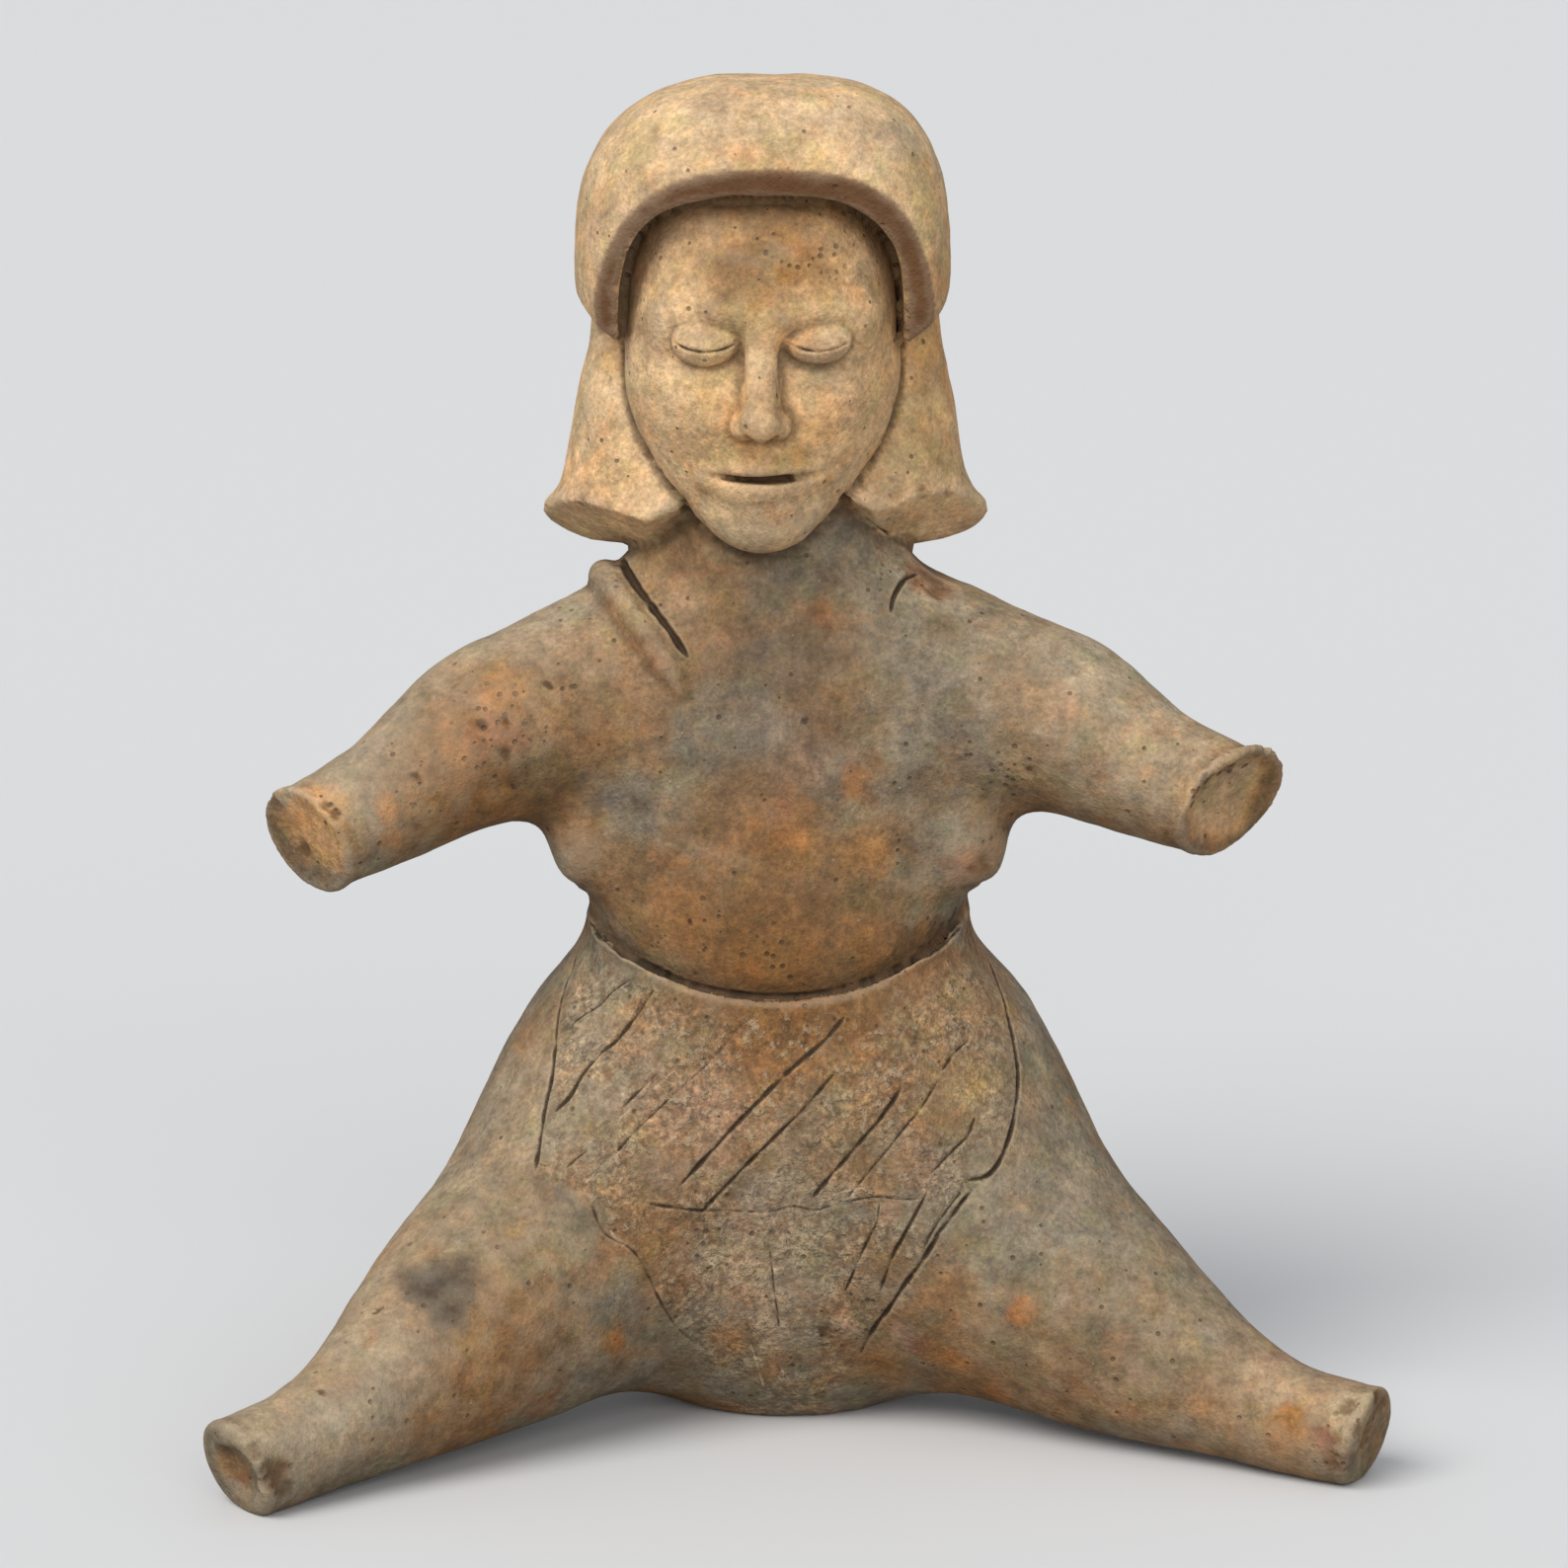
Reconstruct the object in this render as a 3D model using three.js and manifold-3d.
// A hand-modelled, fired-clay tomb figure: a seated woman with stub arms held out, legs spread
// wide, a thick bonnet over flared hair, a scored wrap skirt and one shoulder strap.
// Millimetres. +Z is up, the figure faces -Y and its own left side is at +X.

import * as THREE from "three";
import { MarchingCubes } from "three/addons/objects/MarchingCubes.js";
import { mergeVertices } from "three/addons/utils/BufferGeometryUtils.js";
import Module from "manifold-3d";

const wasm = await Module();
wasm.setup();

// Driving dimensions
const HEIGHT = 300; // ground to crown
const CHIN_Z = 197;
const CLAY_COLOUR = 0xb08c6c;
const UP = new THREE.Vector3(0, 0, 1);

// Trunk, as level sections from inside the skirt to the top of the neck
const TRUNK = [
  { z: 84, halfWidth: 41.5, halfDepth: 30.0, x: 2.8, y: 0 },
  { z: 114, halfWidth: 42.0, halfDepth: 31.5, x: 2.8, y: 0 },
  { z: 128, halfWidth: 44.8, halfDepth: 31.0, x: 2.8, y: 0 },
  { z: 150, halfWidth: 47.0, halfDepth: 29.5, x: 3.0, y: 0.5 },
  { z: 170, halfWidth: 42.0, halfDepth: 25.5, x: 3.4, y: 1.5 },
  { z: 184, halfWidth: 35.0, halfDepth: 21.5, x: 2.4, y: 2.0 },
  { z: 198, halfWidth: 28.5, halfDepth: 19.5, x: 0.6, y: 2.0 },
  { z: 214, halfWidth: 26.5, halfDepth: 18.5, x: 0, y: 2.0 },
];
const TRUNK_ROUNDNESS = 2.4; // exponent of a section's outline, 2 is an ellipse

// Limbs as tapered rolls of clay, root first. face is the way the flat stub end looks and rim is
// how far its pressed-out edge stands beyond the roll.
const LIMBS = {
  right_arm: {
    path: [
      { x: -26, y: 2, z: 164, r: 23 },
      { x: -58, y: -13, z: 157, r: 20 },
      { x: -81, y: -27, z: 144.4, r: 14.2 },
      { x: -100, y: -38, z: 136, r: 12.2 },
    ],
    face: [-0.66, -0.66, -0.36], rim: 0.4,
  },
  left_arm: {
    path: [
      { x: 30, y: 2, z: 166, r: 23 },
      { x: 63, y: -12, z: 158.8, r: 20 },
      { x: 84, y: -24, z: 149.2, r: 14.8 },
      { x: 102.2, y: -34.5, z: 144, r: 12.4 },
    ],
    face: [0.58, -0.68, -0.45], rim: 1.8,
  },
  right_leg: {
    path: [
      { x: -18.5, y: 2, z: 71, r: 40.5 },
      { x: -43, y: -16, z: 41.5, r: 33.2 },
      { x: -63, y: -36, z: 28.5, r: 26 },
      { x: -84, y: -60, z: 17.8, r: 16.4 },
      { x: -98, y: -74, z: 12.3, r: 12.2 },
      { x: -113, y: -88, z: 9.4, r: 10.8 },
    ],
    face: [-0.74, -0.60, -0.30], rim: -0.5,
  },
  left_leg: {
    path: [
      { x: 25, y: 2, z: 71, r: 40.3 },
      { x: 50, y: -12, z: 41, r: 33.3 },
      { x: 72, y: -28, z: 27.5, r: 25.3 },
      { x: 97, y: -46, z: 17, r: 15.9 },
      { x: 113, y: -57, z: 12.3, r: 12 },
      { x: 131, y: -67, z: 10.2, r: 11.2 },
    ],
    face: [0.84, -0.48, -0.24], rim: -0.5,
  },
};
const LIMB_STEPS = 4; // sub-steps along each stretch of a limb
const LIMB_OVERRUN = 14; // modelled past the stub end, then sliced off
const ARM_BLEND = 16; // how far a limb's clay is smoothed into the body
const LEG_BLEND = 18;

// The end of a stub, with its widths measured inwards from the roll's own radius
const STUB = {
  lip: 1.1, dish: 0.5, bevel: 3.6, root: 6, neck: 2.5, shoulder: 0.4, crest: 0.6, inner: 2.4, sides: 16,
};
const STUB_CUT = { width: 2.4, length: 4 }; // in radii of the stub

const HIPS = { centre: [4, -1, 49], radii: [50.5, 37, 55] };
const BREASTS = [
  { centre: [-38, -17, 131.5], radii: [8.5, 7.5, 10], underside: 123 },
  { centre: [44, -18, 131.5], radii: [8.5, 7.5, 10], underside: 124 },
];
const BREAST_BLEND = 9;
const UNDERSIDE_BLEND = 3;

// The dip in the left shoulder where a strap has broken away
const LOST_STRAP = { centre: [42, 4, 197], radii: [9, 18, 8], blend: 3 };

// Waist: the skirt's edge sags in front as a curve that rises by sag times the square of x, and it
// rises a little to the back. It stands proud of the trunk, less so behind, and a line is scored
// along it in front. spare is how far the hips are modelled above it before they are cut.
const WAIST = { x: 2, z: 99.3, sag: 0.0069, frontY: -31, rise: 0.1, blend: 7, spare: 12 };
const LIP = { front: 1.3, back: 0.6, from: -8, to: -19 };
const WAIST_LINE = { start: -39.5, end: 43.5, pieces: 10, above: 0.7, share: 1.3 };
const WAIST_SHEET = { size: HEIGHT, across: 30, deep: 6, top: 2 * HEIGHT };

// Bonnet and hair. The brim's front is a flat cut and lean is its slope. The hem rises by rise to
// the back, and by flare outwards from the opening.
const HEAD_X = -0.6;
const BONNET = {
  centre: [HEAD_X, -2, 260], radii: [41.1, 38.5, HEIGHT - 260], lower: 30,
  rightBoxiness: 2.5, leftBoxiness: 3.2, topBoxiness: 2.7, depthBoxiness: 3.0,
};
const BRIM = { y: -38.5, z: 281, lean: 0.42 };
const HEM = { y: -22, z: 242.5, rise: 0.1, flare: 0.85 };
const OPENING = { halfWidth: 31, top: 275.5, bottom: 247, roundness: 3, backY: -16, below: 30, taper: 3 };
const HAIR = {
  x: 0, y: 8, depthShare: 0.61, roundness: 2.8, sides: 30,
  profile: [[0, 195.6], [33.5, 195.6], [40, 196.4], [45, 198.2], [48.4, 201], [49.6, 203.6],
    [48.6, 205.4], [46.6, 207.6], [45, 211.5], [43.8, 218], [42.2, 228], [40.6, 236], [38.9, 245],
    [38.2, 262], [0, 262]],
};
// Cuts as a point and the way that the cut-off clay lies: a facet at each front corner of the hem,
// and two slopes that meet over the neck and bare it
const HAIR_FACETS = [
  [[-40, -12, 207], [-0.44, -0.40, -0.81]],
  [[39, -12, 209.5], [0.43, -0.54, -0.72]],
];
const BARE_NECK = [
  [[-31, -16, 198.7], [0.52, -0.5, -1]],
  [[31.6, -16, 199.1], [-0.62, -0.5, -1]],
];

// A plain face on the usual thirds: brim to brow, brow to nose, nose to chin
const FACE = {
  centre: [HEAD_X, -14, 240], halfWidth: 30, halfHeight: 240 - CHIN_Z, halfDepth: 23.5,
  chinTaper: 0.2, roundness: 2.5,
};
const FACE_TOP_Z = 275;
const THIRD = (FACE_TOP_Z - CHIN_Z) / 3;
const EYE_WIDTH = (2 * FACE.halfWidth) / 5;
const BROW_Z = FACE_TOP_Z - THIRD;
const NOSE_Z = BROW_Z - THIRD;
const EYES = {
  x: EYE_WIDTH, z: BROW_Z - 4.5, halfWidth: 0.6 * EYE_WIDTH, halfHeight: 5.2, proud: 2.4, root: 1.4,
};
const MOUTH = { z: NOSE_Z - THIRD / 3, halfWidth: EYE_WIDTH, halfHeight: 1.0, depth: 6 };
const NOSE = {
  rows: [
    { z: BROW_Z - 3, halfWidth: 3.0, proud: 0.5 },
    { z: BROW_Z - 13.5, halfWidth: 4.1, proud: 4.2 },
    { z: NOSE_Z + 2.5, halfWidth: EYE_WIDTH / 2, proud: 8.5 },
    { z: NOSE_Z, halfWidth: 0.43 * EYE_WIDTH, proud: 4.7 },
  ],
  arch: [[-1, 0], [-0.72, 0.6], [-0.3, 0.95], [0.3, 0.95], [0.72, 0.6], [1, 0]],
  root: 4,
};

// Shoulder straps: the right one is a laid-on strip of clay, of the left one only the bed is left.
// Places are [x, y, z] near the surface.
const STRAP = {
  path: [[-18.6, -26.5, 167.5], [-22, -24.5, 173], [-28.6, -18.5, 181.5], [-34, -9, 188],
    [-36.5, 1, 190], [-36.5, 12, 188.5]],
  halfWidth: 3.2, proud: 2.4, root: 2.0, step: 6, flat: 0.5, low: 0.4,
};
const STRAP_LINE = [[-17, -23, 174.5], [-24.8, -18.8, 184.5], [-32, -7, 193]];
const LOST_STRAP_LINE = [[27.6, -19, 183.5], [28.3, -16, 187], [30.8, -11.5, 190.3], [34, -7.7, 191.3]];
const NECK_LINE = [[21.6, -12.3, 204.4], [28, -6.6, 198.6]];
const STRAP_SCORE_SHARE = 1.4; // these lines are scored deeper than the skirt's

// Scored skirt, as [x, z] places seen from the front
const SCORE = { width: 1.5, depth: 1.1, lift: 0.8, step: 12 };
const SKIRT_EDGES = [
  [[-41.5, 107], [-46.5, 89], [-47, 82], [-50, 61]],
  [[51.5, 102], [55.5, 90], [56.5, 83], [54.5, 70], [50, 62], [44.5, 60.5]],
  [[-26, 56.5], [-13, 54.5], [5, 55], [21, 56.5]],
  [[45.5, 59], [36, 47], [27.5, 32.5], [21.5, 19]],
  [[-38, 57.5], [-29, 47.5], [-24, 36], [-16.5, 21]],
];
const SKIRT_STROKES = [
  [[-29.5, 103], [-44, 91]],
  [[-24.5, 101], [-30, 94], [-45.5, 75]],
  [[-6.5, 94], [-30, 70]],
  [[18, 96], [-3, 78.5], [-18.5, 60.5]],
  [[15, 85], [-13.5, 56]],
  [[30, 81], [10.5, 57.5]],
  [[38, 82], [17.5, 58]],
  [[46.5, 74], [37, 63.5]],
  [[36, 58.5], [30.5, 49], [25, 35]],
  [[25, 55], [22.5, 47.5], [17, 34]],
  [[0, 39], [4.5, 12]],
];

// Fineness of the faces
const UPPER_GRID = { low: [-122, -62, 82], high: [126, 44, 216], cell: 8.8 };
const LOWER_GRID = { low: [-134, -108, -16], high: [160, 50, 138], cell: 10.4 };
const GRID_MARGIN = 2; // empty cells round a marched form
const ROUND = { reach: 32, edge: 8 }; // finer faces near the stub ends
const SMALL = { reach: 13, edge: 4.6 }; // finest faces on the breasts
const BALL = { bonnet: [32, 18], face: [24, 16], eye: [14, 8], mouth: [16, 8] };
const ARCH_STEPS = 24; // facets round the opening's outline
const MOST_FACES = 60000; // room for a marched mesh
const WELD = 1e-3; // corners this close to each other are one
const EXACT_WELD = 1e-4;
const RELAX = { marched: 6, fine: 3, share: 0.6 }; // rounds of evening out, and how far each one goes
const CLEARANCE = 0.1; // keeps the surface this far off the grid's own corners
const NUDGE = 0.01; // step for measuring a slope
const STEEPNESS = 0.05; // least squared slope that a settling point trusts
const SETTLE = { rounds: 3, longest: 2 }; // steps towards a surface
const MARCH = { steps: 400, share: 0.7, least: 0.004, near: 0.005 }; // steps along a line of sight
const HALVINGS = 28; // steps of a search for the surface
const REACH = 90; // farther out than any surface that is searched for
const FRONT_Y = -120; // in front of the whole figure
const DEEPEST_Y = -6; // how far back a line seen from the front may lie

// Small helpers
const mix = (a, b, t) => a + (b - a) * t;
const clamp = (t, low, high) => Math.min(high, Math.max(low, t));
const vector = (p) => new THREE.Vector3(p[0], p[1], p[2]);

// Blends two signed distances like clay smoothed over a join
function blend(a, b, radius) {
  const h = Math.max(radius - Math.abs(a - b), 0) / radius;
  return Math.min(a, b) - (h * h * radius) / 4;
}

// Takes the second form off the first, with the new edge smoothed
function carve(a, b, radius) {
  return -blend(-a, b, radius);
}

// Value of one key of a list of stations, on a smooth curve, at a place counted in stations
function along(stations, key, place) {
  const last = stations.length - 1;
  const i = clamp(Math.floor(place), 0, last - 1);
  const value = (n) => stations[n][key];
  const [a, b] = [value(i), value(i + 1)];
  const before = i === 0 ? 2 * a - b : value(i - 1);
  const after = i === last - 1 ? 2 * b - a : value(i + 2);
  const t = place - i;
  const t2 = t * t;
  const t3 = t2 * t;
  return (2 * t3 - 3 * t2 + 1) * a + (t3 - 2 * t2 + t) * (b - before) / 2
    + (3 * t2 - 2 * t3) * b + (t3 - t2) * (after - a) / 2;
}

// Signed distances, negative inside the clay
function trunkField(x, y, z) {
  const last = TRUNK.length - 1;
  let i = 0;
  while (i < last - 1 && z > TRUNK[i + 1].z) i += 1;
  const place = i + clamp((z - TRUNK[i].z) / (TRUNK[i + 1].z - TRUNK[i].z), 0, 1);
  const halfWidth = along(TRUNK, "halfWidth", place);
  const halfDepth = along(TRUNK, "halfDepth", place);
  const u = Math.abs(x - along(TRUNK, "x", place)) / halfWidth;
  const v = Math.abs(y - along(TRUNK, "y", place)) / halfDepth;
  const r = (u ** TRUNK_ROUNDNESS + v ** TRUNK_ROUNDNESS) ** (1 / TRUNK_ROUNDNESS);
  const side = (r - 1) * Math.min(halfWidth, halfDepth);
  return Math.max(side, TRUNK[0].z - z, z - TRUNK[last].z);
}

// Fine stations along a limb, with one more past its end
function limbBeads(path) {
  const beads = [];
  const stretches = path.length - 1;
  for (let n = 0; n <= stretches * LIMB_STEPS; n += 1) {
    beads.push(["x", "y", "z", "r"].map((key) => along(path, key, n / LIMB_STEPS)));
  }
  const [before, end] = beads.slice(-2);
  const way = vector(end).sub(vector(before)).setLength(LIMB_OVERRUN);
  beads.push([end[0] + way.x, end[1] + way.y, end[2] + way.z, end[3]]);
  return beads;
}

for (const limb of Object.values(LIMBS)) {
  limb.beads = limbBeads(limb.path);
  limb.tip = limb.path[limb.path.length - 1];
}

function limbField(limb, x, y, z) {
  let nearest = Infinity;
  for (let n = 1; n < limb.beads.length; n += 1) {
    const [ax, ay, az, ar] = limb.beads[n - 1];
    const [bx, by, bz, br] = limb.beads[n];
    const [dx, dy, dz] = [bx - ax, by - ay, bz - az];
    const length = Math.hypot(dx, dy, dz);
    const taper = (ar - br) / length;
    const reached = ((x - ax) * dx + (y - ay) * dy + (z - az) * dz) / length;
    const squared = (x - ax) ** 2 + (y - ay) ** 2 + (z - az) ** 2 - reached ** 2;
    const aside = Math.sqrt(Math.max(squared, 0));
    const middle = clamp(reached - (aside * taper) / Math.sqrt(1 - taper ** 2), 0, length);
    nearest = Math.min(nearest, Math.hypot(reached - middle, aside) - ar + taper * middle);
  }
  return nearest;
}

function ellipsoidField({ centre, radii }, x, y, z) {
  const r = Math.hypot((x - centre[0]) / radii[0], (y - centre[1]) / radii[1], (z - centre[2]) / radii[2]);
  return (r - 1) * Math.min(...radii);
}

function upperField(x, y, z) {
  let upper = trunkField(x, y, z);
  upper = blend(upper, limbField(LIMBS.right_arm, x, y, z), ARM_BLEND);
  upper = blend(upper, limbField(LIMBS.left_arm, x, y, z), ARM_BLEND);
  for (const breast of BREASTS) {
    const pellet = carve(ellipsoidField(breast, x, y, z), z - breast.underside, UNDERSIDE_BLEND);
    upper = blend(upper, pellet, BREAST_BLEND);
  }
  return carve(upper, ellipsoidField(LOST_STRAP, x, y, z), LOST_STRAP.blend);
}

// Height of the skirt's edge
function waistHeight(x, y) {
  return WAIST.z + WAIST.sag * (x - WAIST.x) ** 2 + WAIST.rise * (y - WAIST.frontY);
}

function lowerField(x, y, z) {
  let lower = ellipsoidField(HIPS, x, y, z);
  lower = blend(lower, limbField(LIMBS.right_leg, x, y, z), LEG_BLEND);
  lower = blend(lower, limbField(LIMBS.left_leg, x, y, z), LEG_BLEND);
  const inFront = THREE.MathUtils.smoothstep(-y, -LIP.from, -LIP.to);
  lower = blend(lower, trunkField(x, y, z) - mix(LIP.back, LIP.front, inFront), WAIST.blend);
  return Math.max(lower, z - waistHeight(x, y) - WAIST.spare);
}

function bonnetField(x, y, z) {
  const { centre, radii, lower, rightBoxiness, leftBoxiness, topBoxiness, depthBoxiness } = BONNET;
  const u = (Math.abs(x - centre[0]) / radii[0]) ** (x < centre[0] ? rightBoxiness : leftBoxiness);
  const v = (Math.abs(y - centre[1]) / radii[1]) ** depthBoxiness;
  const w = (Math.abs(z - centre[2]) / (z > centre[2] ? radii[2] : lower)) ** topBoxiness;
  return u + v + w - 1;
}

function faceField(x, y, z) {
  const [cx, cy, cz] = FACE.centre;
  const down = clamp((cz - z) / FACE.halfHeight, 0, 1);
  const taper = 1 - FACE.chinTaper * down * down;
  const n = mix(FACE.roundness, 2, Math.min(1, down * 2));
  const u = (Math.abs(x - cx) / (FACE.halfWidth * taper)) ** n;
  const w = (Math.abs(z - cz) / FACE.halfHeight) ** n;
  return Math.hypot((u + w) ** (1 / n), (y - cy) / FACE.halfDepth) - 1;
}

// Turning geometry into solids and back
function toSolid(geometry) {
  const plain = geometry.index ? geometry.toNonIndexed() : geometry;
  const points = new THREE.BufferGeometry().setAttribute("position", plain.getAttribute("position"));
  const merged = mergeVertices(points, EXACT_WELD);
  return new wasm.Manifold(new wasm.Mesh({
    numProp: 3,
    vertProperties: new Float32Array(merged.attributes.position.array),
    triVerts: new Uint32Array(merged.index.array),
  }));
}

function toGeometry(solid) {
  const mesh = solid.getMesh();
  const geometry = new THREE.BufferGeometry();
  geometry.setAttribute("position", new THREE.BufferAttribute(new Float32Array(mesh.vertProperties), 3));
  geometry.setIndex(new THREE.BufferAttribute(new Uint32Array(mesh.triVerts), 1));
  return geometry;
}

// Finding places on a surface
function slopeOf(field, p) {
  const e = NUDGE;
  return new THREE.Vector3(
    field(p.x + e, p.y, p.z) - field(p.x - e, p.y, p.z),
    field(p.x, p.y + e, p.z) - field(p.x, p.y - e, p.z),
    field(p.x, p.y, p.z + e) - field(p.x, p.y, p.z - e),
  ).divideScalar(2 * e);
}

// Moves a point along the field's slope until it lies on the surface
function settle(field, p) {
  for (let step = 0; step < SETTLE.rounds; step += 1) {
    const slope = slopeOf(field, p);
    const stride = -field(p.x, p.y, p.z) / Math.max(slope.lengthSq(), STEEPNESS);
    p.addScaledVector(slope, clamp(stride, -SETTLE.longest, SETTLE.longest));
  }
  return p;
}

// How far out from the inside a surface lies, by halving
function surfaceAt(isInside) {
  let [near, far] = [0, REACH];
  for (let step = 0; step < HALVINGS; step += 1) {
    const middle = (near + far) / 2;
    if (isInside(middle)) near = middle;
    else far = middle;
  }
  return near;
}

// Y of a field's surface at a place seen from the front, or of the place nearest to it
function frontY(field, x, z) {
  let y = FRONT_Y;
  for (let step = 0; step < MARCH.steps && y < DEEPEST_Y && field(x, y, z) > MARCH.near; step += 1) {
    y += Math.max(field(x, y, z) * MARCH.share, MARCH.least);
  }
  return Math.min(y, DEEPEST_Y);
}

// Stations on a surface along a line of [x, y, z] places, or of [x, z] places seen from the front
function trace(field, line, step) {
  const seen = ([x, z]) => new THREE.Vector3(x, frontY(field, x, z), z);
  const places = line.map((p) => (p.length === 3 ? vector(p) : seen(p)));
  const stations = [];
  for (let n = 0; n < places.length - 1; n += 1) {
    const pieces = Math.max(1, Math.round(places[n].distanceTo(places[n + 1]) / step));
    for (let i = n === 0 ? 0 : 1; i <= pieces; i += 1) {
      const point = settle(field, places[n].clone().lerp(places[n + 1], i / pieces));
      stations.push({ point, up: slopeOf(field, point).normalize() });
    }
  }
  return stations;
}

// Marches a field with cubes of the grid's size, evens the mesh out and settles it on the surface
function meshField(field, { low, high, cell }) {
  const cells = Math.ceil(Math.max(high[0] - low[0], high[1] - low[1], high[2] - low[2]) / cell);
  const size = cells + 2 * GRID_MARGIN;
  const marcher = new MarchingCubes(size, new THREE.MeshBasicMaterial(), false, false, MOST_FACES);
  marcher.isolation = 0;
  const place = (axis, i) => low[axis] + (i - GRID_MARGIN) * cell;
  for (let k = 0; k < size; k += 1) {
    for (let j = 0; j < size; j += 1) {
      for (let i = 0; i < size; i += 1) {
        const beyond = place(1, j) > high[1] + cell || place(2, k) > high[2] + cell;
        const inside = beyond ? -cell : -field(place(0, i), place(1, j), place(2, k));
        const keptOff = Math.max(Math.abs(inside), CLEARANCE) * (inside < 0 ? -1 : 1);
        marcher.field[i + size * (j + size * k)] = keptOff;
      }
    }
  }
  marcher.update();
  const positions = new Float32Array(marcher.count * 3);
  for (let n = 0; n < positions.length; n += 1) {
    positions[n] = place(n % 3, (marcher.positionArray[n] + 1) * marcher.halfsize);
  }
  const loose = new THREE.BufferGeometry().setAttribute("position", new THREE.BufferAttribute(positions, 3));
  const geometry = mergeVertices(loose, WELD);
  relax(geometry, field, RELAX.marched);
  return geometry;
}

// Pulls each vertex towards the middle of its neighbours, then back onto the surface
function relax(geometry, field, rounds) {
  const position = geometry.attributes.position;
  const index = geometry.index.array;
  const neighbours = Array.from({ length: position.count }, () => new Set());
  for (let t = 0; t < index.length; t += 3) {
    for (let c = 0; c < 3; c += 1) {
      const [a, b] = [index[t + c], index[t + ((c + 1) % 3)]];
      neighbours[a].add(b);
      neighbours[b].add(a);
    }
  }
  const at = (v) => new THREE.Vector3().fromBufferAttribute(position, v);
  for (let round = 0; round < rounds; round += 1) {
    const moved = neighbours.map((around, v) => {
      const middle = new THREE.Vector3();
      around.forEach((n) => middle.add(at(n)));
      return settle(field, at(v).lerp(middle.divideScalar(around.size), RELAX.share));
    });
    moved.forEach((p, v) => position.setXYZ(v, p.x, p.y, p.z));
  }
}

// Splits the edges longer than the limit whose middles lie in one of some balls [x, y, z, radius]
function refine(geometry, field, balls, limit) {
  const points = Array.from(geometry.attributes.position.array);
  const at = (v) => new THREE.Vector3(points[3 * v], points[3 * v + 1], points[3 * v + 2]);
  const middles = new Map();
  const middleOf = (a, b) => {
    const key = a < b ? `${a}_${b}` : `${b}_${a}`;
    if (!middles.has(key)) {
      const middle = at(a).lerp(at(b), 0.5);
      const isInside = balls.some((ball) => middle.distanceTo(vector(ball)) < ball[3]);
      const isSplit = isInside && at(a).distanceTo(at(b)) > limit;
      middles.set(key, isSplit ? points.length / 3 : -1);
      if (isSplit) points.push(...settle(field, middle));
    }
    return middles.get(key);
  };
  const index = geometry.index.array;
  const faces = [];
  for (let t = 0; t < index.length; t += 3) {
    let corners = [index[t], index[t + 1], index[t + 2]];
    let middle = corners.map((v, i) => middleOf(v, corners[(i + 1) % 3]));
    const cuts = middle.filter((m) => m >= 0).length;
    while (cuts > 0 && cuts < 3 && !(middle[0] >= 0 && (cuts === 1 || middle[1] >= 0))) {
      corners = [corners[1], corners[2], corners[0]];
      middle = [middle[1], middle[2], middle[0]];
    }
    const [a, b, c] = corners;
    const [ab, bc, ca] = middle;
    if (cuts === 0) faces.push(a, b, c);
    else if (cuts === 1) faces.push(a, ab, c, ab, b, c);
    else if (cuts === 2) faces.push(a, ab, c, ab, bc, c, ab, b, bc);
    else faces.push(a, ab, ca, ab, b, bc, ca, bc, c, ab, bc, ca);
  }
  const fine = new THREE.BufferGeometry();
  fine.setAttribute("position", new THREE.Float32BufferAttribute(points, 3));
  fine.setIndex(faces);
  return fine;
}

// Pushes a sphere's vertices out from the centre until they meet the field
function swell(field, centre, [widthSegments, heightSegments]) {
  const ball = new THREE.SphereGeometry(1, widthSegments, heightSegments).rotateX(Math.PI / 2);
  const position = ball.attributes.position;
  for (let v = 0; v < position.count; v += 1) {
    const way = new THREE.Vector3().fromBufferAttribute(position, v).normalize();
    const at = (distance) => vector(centre).addScaledVector(way, distance);
    const p = at(surfaceAt((distance) => field(...at(distance)) < 0));
    position.setXYZ(v, p.x, p.y, p.z);
  }
  return toSolid(ball);
}

// Joins closed rings of points into a solid with flat ends
function loft(rings) {
  const points = [];
  const count = rings[0].length;
  const face = (...corners) => corners.forEach((p) => points.push(p.x, p.y, p.z));
  for (let n = 0; n < rings.length - 1; n += 1) {
    for (let i = 0; i < count; i += 1) {
      const j = (i + 1) % count;
      face(rings[n][i], rings[n + 1][j], rings[n][j]);
      face(rings[n][i], rings[n + 1][i], rings[n + 1][j]);
    }
  }
  const [first, last] = [rings[0], rings[rings.length - 1]];
  for (let i = 1; i < count - 1; i += 1) {
    face(first[0], first[i], first[i + 1]);
    face(last[0], last[i + 1], last[i]);
  }
  const geometry = new THREE.BufferGeometry();
  geometry.setAttribute("position", new THREE.Float32BufferAttribute(points, 3));
  return toSolid(geometry);
}

// Sweeps a closed profile of [side, up] places along stations
function sweep(stations, profile) {
  return loft(stations.map(({ point, up }, n) => {
    const ahead = stations[Math.min(n + 1, stations.length - 1)].point;
    const behind = stations[Math.max(n - 1, 0)].point;
    const side = new THREE.Vector3().crossVectors(ahead.clone().sub(behind), up).normalize();
    return profile.map(([s, u]) => point.clone().addScaledVector(side, s).addScaledVector(up, u));
  }));
}

function turnTo(geometry, direction) {
  const turn = new THREE.Quaternion().setFromUnitVectors(UP, vector(direction).normalize());
  return geometry.applyQuaternion(turn);
}

// A large block that takes away everything on the side the normal points to
function cutter(point, normal) {
  const size = 2 * HEIGHT;
  const block = new THREE.BoxGeometry(size, size, size).translate(0, 0, size / 2);
  return toSolid(turnTo(block, normal).translate(...point));
}

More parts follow.
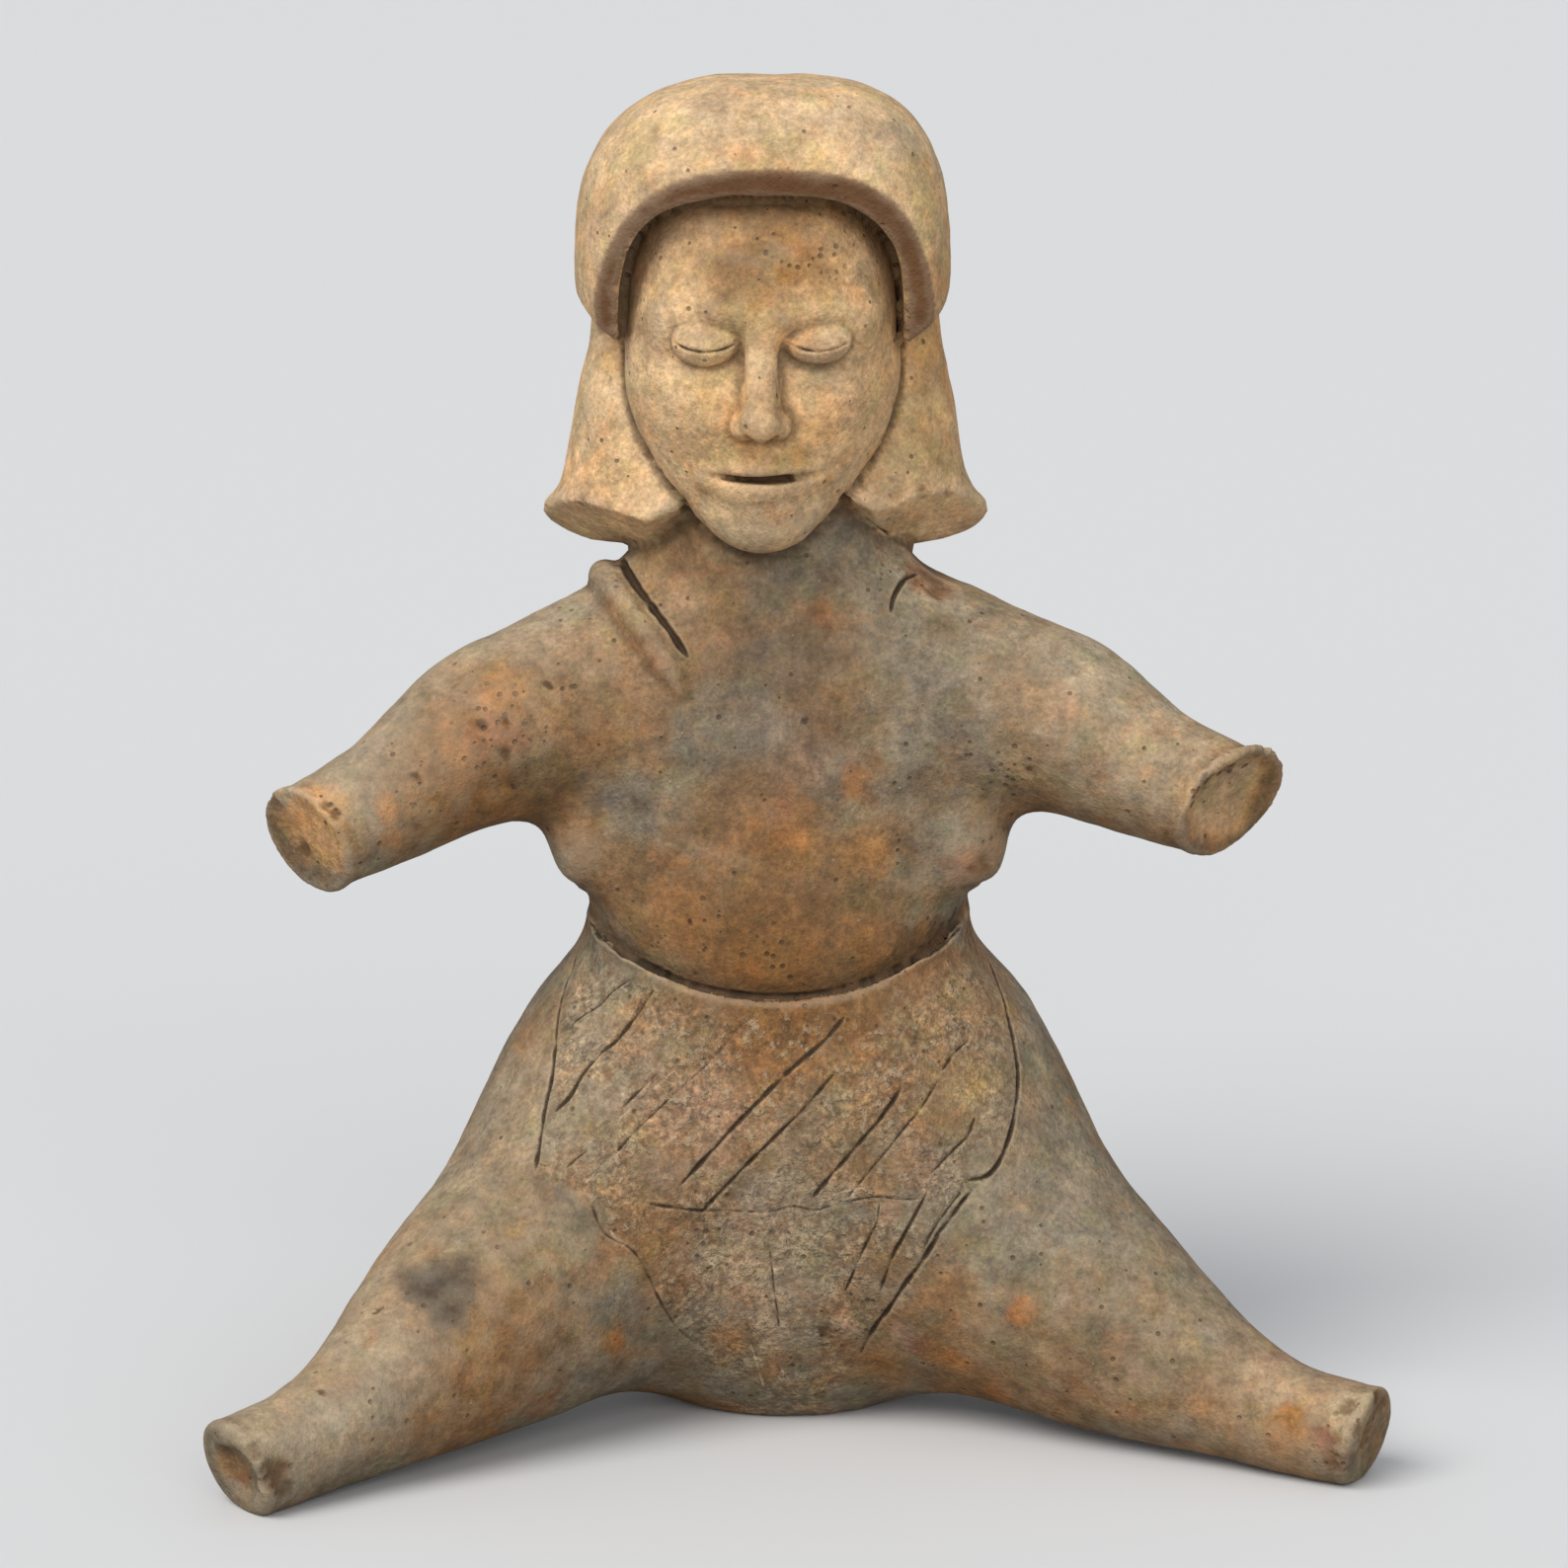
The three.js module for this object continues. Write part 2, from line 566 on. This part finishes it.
// Slices the end of one limb only
function endCutter({ tip, face }) {
  const [wide, long] = [STUB_CUT.width * tip.r, STUB_CUT.length * tip.r];
  const block = new THREE.CylinderGeometry(wide, wide, long, STUB.sides).rotateX(Math.PI / 2);
  return toSolid(turnTo(block.translate(0, 0, long / 2), face).translate(tip.x, tip.y, tip.z));
}

// The pressed-out rim and dished end of a stub, turned about the way the end looks
function stubEnd({ tip, face, rim }) {
  const { lip, dish, bevel, root, neck, shoulder, crest, inner, sides } = STUB;
  const r = tip.r;
  const profile = [
    [0, -root], [r - neck, -root], [r - shoulder, -bevel], [r + rim, -lip], [r + rim, dish],
    [r - crest, lip], [r - inner, 0], [0, -dish],
  ].map(([radius, height]) => new THREE.Vector2(radius, height));
  const lathe = new THREE.LatheGeometry(profile, sides).rotateX(Math.PI / 2);
  return toSolid(turnTo(lathe, face).translate(tip.x, tip.y, tip.z));
}

// A block over the curved sheet of the skirt's edge
function overWaist() {
  const { size, across, deep, top } = WAIST_SHEET;
  const block = new THREE.BoxGeometry(size, size, size, across, deep, 1);
  const position = block.attributes.position;
  for (let v = 0; v < position.count; v += 1) {
    const [x, y, z] = [position.getX(v), position.getY(v), position.getZ(v)];
    position.setZ(v, z > 0 ? top : waistHeight(x, y));
  }
  return toSolid(block);
}

// The line behind the skirt's edge, seen from the front
function waistLine() {
  const { start, end, pieces, above, share } = WAIST_LINE;
  const line = [];
  for (let n = 0; n <= pieces; n += 1) {
    const x = mix(start, end, n / pieces);
    line.push([x, waistHeight(x, WAIST.frontY) + above]);
  }
  return scoreLine(trunkField, line, share);
}

// A blade that follows the surface and leaves a V-shaped line
function scoreLine(field, line, share = 1) {
  const { width, depth, lift, step } = SCORE;
  const spread = (width / 2) * (1 + lift / depth) * share;
  return sweep(trace(field, line, step), [[-spread, lift], [0, -depth * share], [spread, lift]]);
}

// The parts of the figure
function makeLower() {
  const coarse = meshField(lowerField, LOWER_GRID);
  const legs = [LIMBS.right_leg, LIMBS.left_leg];
  const ankles = legs.map(({ tip }) => [tip.x, tip.y, tip.z, ROUND.reach]);
  let lower = toSolid(refine(coarse, lowerField, ankles, ROUND.edge));
  lower = lower.subtract(overWaist());
  for (const leg of legs) {
    lower = lower.subtract(endCutter(leg)).add(stubEnd(leg));
  }
  for (const line of [...SKIRT_EDGES, ...SKIRT_STROKES]) {
    lower = lower.subtract(scoreLine(lowerField, line));
  }
  return lower;
}

function makeUpper() {
  const coarse = meshField(upperField, UPPER_GRID);
  const arms = [LIMBS.right_arm, LIMBS.left_arm];
  const wrists = arms.map(({ tip }) => [tip.x, tip.y, tip.z, ROUND.reach]);
  const breasts = BREASTS.map(({ centre }) => [...centre, SMALL.reach]);
  const fine = refine(refine(coarse, upperField, wrists, ROUND.edge), upperField, breasts, SMALL.edge);
  relax(fine, upperField, RELAX.fine);
  let upper = toSolid(refine(fine, upperField, breasts, SMALL.edge));
  for (const arm of arms) {
    upper = upper.subtract(endCutter(arm)).add(stubEnd(arm));
  }
  upper = upper.add(makeStrap());
  for (const line of [STRAP_LINE, LOST_STRAP_LINE, NECK_LINE]) {
    upper = upper.subtract(scoreLine(upperField, line, STRAP_SCORE_SHARE));
  }
  return upper;
}

function makeStrap() {
  const { path, halfWidth: w, proud, root, step } = STRAP;
  const low = STRAP.low * proud;
  const flat = STRAP.flat * w;
  const profile = [[-w, -root], [w, -root], [w, low], [flat, proud], [-flat, proud], [-w, low]];
  return sweep(trace(upperField, path, step), profile);
}

// The arched opening for the face, pushed in from the front
function openingSolid() {
  const { halfWidth, top, bottom, roundness, backY, below, taper } = OPENING;
  const outline = new THREE.Shape();
  for (let i = 0; i <= ARCH_STEPS; i += 1) {
    const angle = (Math.PI * i) / ARCH_STEPS;
    const c = Math.cos(angle);
    const x = Math.sign(c) * Math.abs(c) ** (2 / roundness) * halfWidth;
    const z = bottom + Math.sin(angle) ** (2 / roundness) * (top - bottom);
    if (i === 0) outline.moveTo(x, z);
    else outline.lineTo(x, z);
  }
  outline.lineTo(taper - halfWidth, bottom - below);
  outline.lineTo(halfWidth - taper, bottom - below);
  const block = new THREE.ExtrudeGeometry(outline, { depth: backY - FRONT_Y, bevelEnabled: false });
  return toSolid(block.rotateX(Math.PI / 2).translate(HEAD_X, backY, 0));
}

function makeBonnet() {
  return swell(bonnetField, BONNET.centre, BALL.bonnet)
    .subtract(cutter([0, BRIM.y, BRIM.z], [0, -1, -BRIM.lean]))
    .subtract(cutter([0, HEM.y, HEM.z], [0, HEM.rise, -1]))
    .subtract(cutter([HEAD_X - OPENING.halfWidth, HEM.y, HEM.z], [-HEM.flare, HEM.rise, -1]))
    .subtract(cutter([HEAD_X + OPENING.halfWidth, HEM.y, HEM.z], [HEM.flare, HEM.rise, -1]))
    .subtract(openingSolid());
}

// Hair that hangs from under the bonnet and flares at its hem
function makeHair() {
  const { x: centreX, y: centreY, depthShare, roundness, sides } = HAIR;
  const profile = HAIR.profile.map(([radius, z]) => new THREE.Vector2(radius, z));
  const bell = new THREE.LatheGeometry(profile, sides).rotateX(Math.PI / 2);
  const position = bell.attributes.position;
  for (let v = 0; v < position.count; v += 1) {
    const [x, y] = [position.getX(v), position.getY(v)];
    const radius = Math.hypot(x, y);
    const grown = Math.abs(x) ** roundness + Math.abs(y) ** roundness;
    const boxy = radius > NUDGE ? radius / grown ** (1 / roundness) : 0;
    position.setXY(v, centreX + x * boxy, centreY + y * boxy * depthShare);
  }
  const [rightFacet, leftFacet] = HAIR_FACETS.map(([point, way]) => cutter(point, way));
  const [rightSlope, leftSlope] = BARE_NECK.map(([point, way]) => cutter(point, way));
  return toSolid(bell).subtract(rightFacet).subtract(leftFacet).subtract(rightSlope.intersect(leftSlope));
}

function makeEye(side) {
  const x = HEAD_X + side * EYES.x;
  const pad = new THREE.SphereGeometry(1, ...BALL.eye);
  pad.scale(EYES.halfWidth, EYES.proud + EYES.root, EYES.halfHeight);
  return toSolid(pad.translate(x, frontY(faceField, x, EYES.z) + EYES.root, EYES.z));
}

// A wedge with a rounded ridge, narrow at the brow and wide at its base
function makeNose() {
  const { rows, arch, root } = NOSE;
  return loft(rows.map(({ z, halfWidth, proud }) => {
    const y = frontY(faceField, HEAD_X, z);
    const front = arch.map(([s, u]) => new THREE.Vector3(HEAD_X + s * halfWidth, y - u * proud, z));
    const back = [1, -1].map((s) => new THREE.Vector3(HEAD_X + s * halfWidth, y + root, z));
    return [...front, ...back];
  }));
}

function mouthSlit() {
  const slit = new THREE.SphereGeometry(1, ...BALL.mouth);
  slit.scale(MOUTH.halfWidth, MOUTH.depth, MOUTH.halfHeight);
  return toSolid(slit.translate(HEAD_X, frontY(faceField, HEAD_X, MOUTH.z), MOUTH.z));
}

function makeFace() {
  return swell(faceField, FACE.centre, BALL.face)
    .add(makeEye(-1))
    .add(makeEye(1))
    .add(makeNose())
    .subtract(mouthSlit());
}

const figure = makeLower()
  .add(makeUpper())
  .subtract(waistLine())
  .add(makeHair())
  .add(makeBonnet())
  .add(makeFace())
  .subtract(cutter([0, 0, 0], [0, 0, -1]));

// One piece of fired clay, placed so that the origin is at the middle of its base
const geometry = toGeometry(figure);
geometry.computeBoundingBox();
const box = geometry.boundingBox;
const clay = new THREE.MeshStandardMaterial({ color: CLAY_COLOUR, roughness: 0.85, metalness: 0 });
const mesh = new THREE.Mesh(geometry, clay);
mesh.name = "figure";
mesh.position.set(-(box.min.x + box.max.x) / 2, -(box.min.y + box.max.y) / 2, 0);

const group = new THREE.Group();
group.add(mesh);
export default group;
